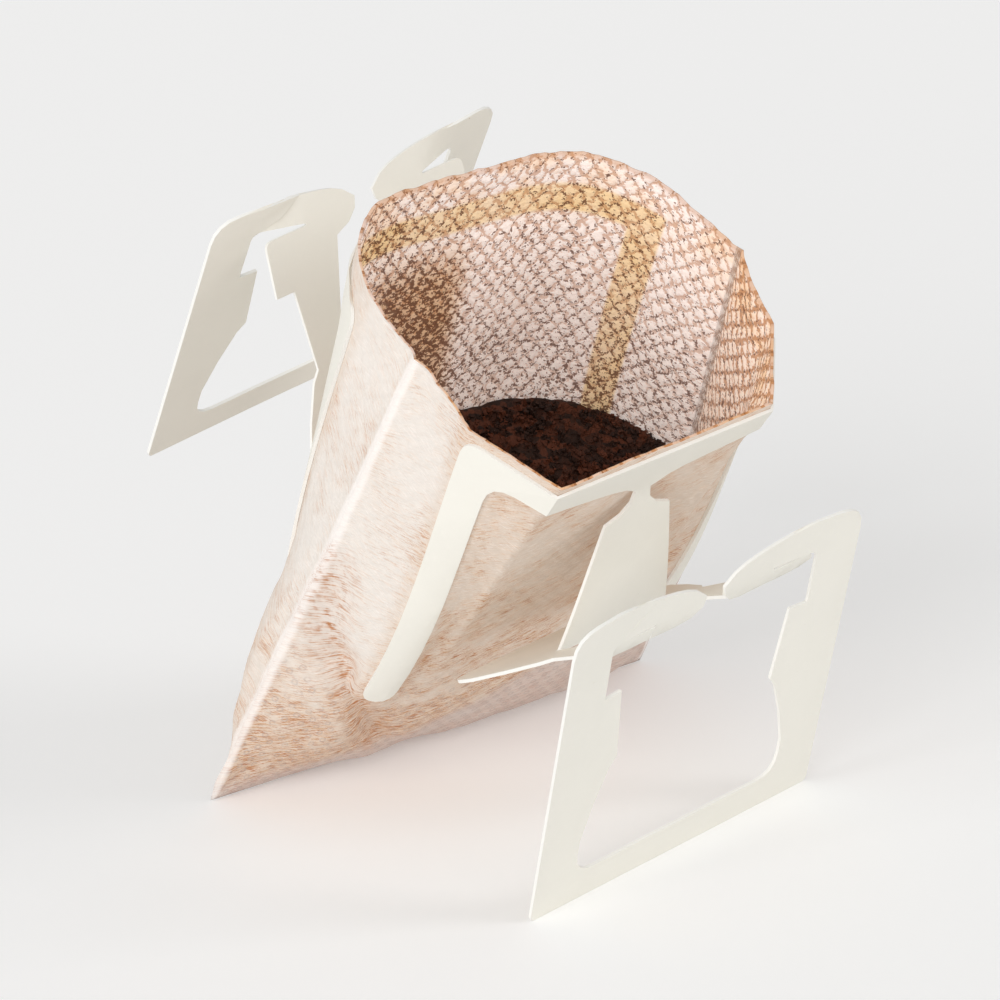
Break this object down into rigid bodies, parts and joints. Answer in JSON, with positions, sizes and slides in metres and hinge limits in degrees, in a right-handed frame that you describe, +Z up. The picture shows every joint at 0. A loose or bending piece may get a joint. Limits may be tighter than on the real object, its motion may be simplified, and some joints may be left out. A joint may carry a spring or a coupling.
{
  "type": "drip coffee bag",
  "caption": "Opened single-serve drip coffee bag: a filter fabric pouch of ground coffee between two card hangers whose ears are folded out to hook over a cup.",
  "frame": {"origin": "on the surface that the bag rests on, under the middle of its bounding box", "axes": "+Z up from the resting surface, the mouth and the front hanger lean towards -Y, +X to the right seen from the front"},
  "size_m": [0.0582, 0.0866, 0.077],
  "materials": {
    "filter_fabric": "thin heat-embossed nonwoven filter fabric with fine tan fibres",
    "coffee_grounds": "dark roasted ground coffee, matt and granular",
    "hanger_card": "uncoated cream-white food-grade paperboard, die cut and creased"
  },
  "bodies": {
    "root": {"filter_pouch": "filter_fabric", "ground_coffee": "coffee_grounds", "front_hanger": "hanger_card", "back_hanger": "hanger_card"}
  },
  "joints": []
}
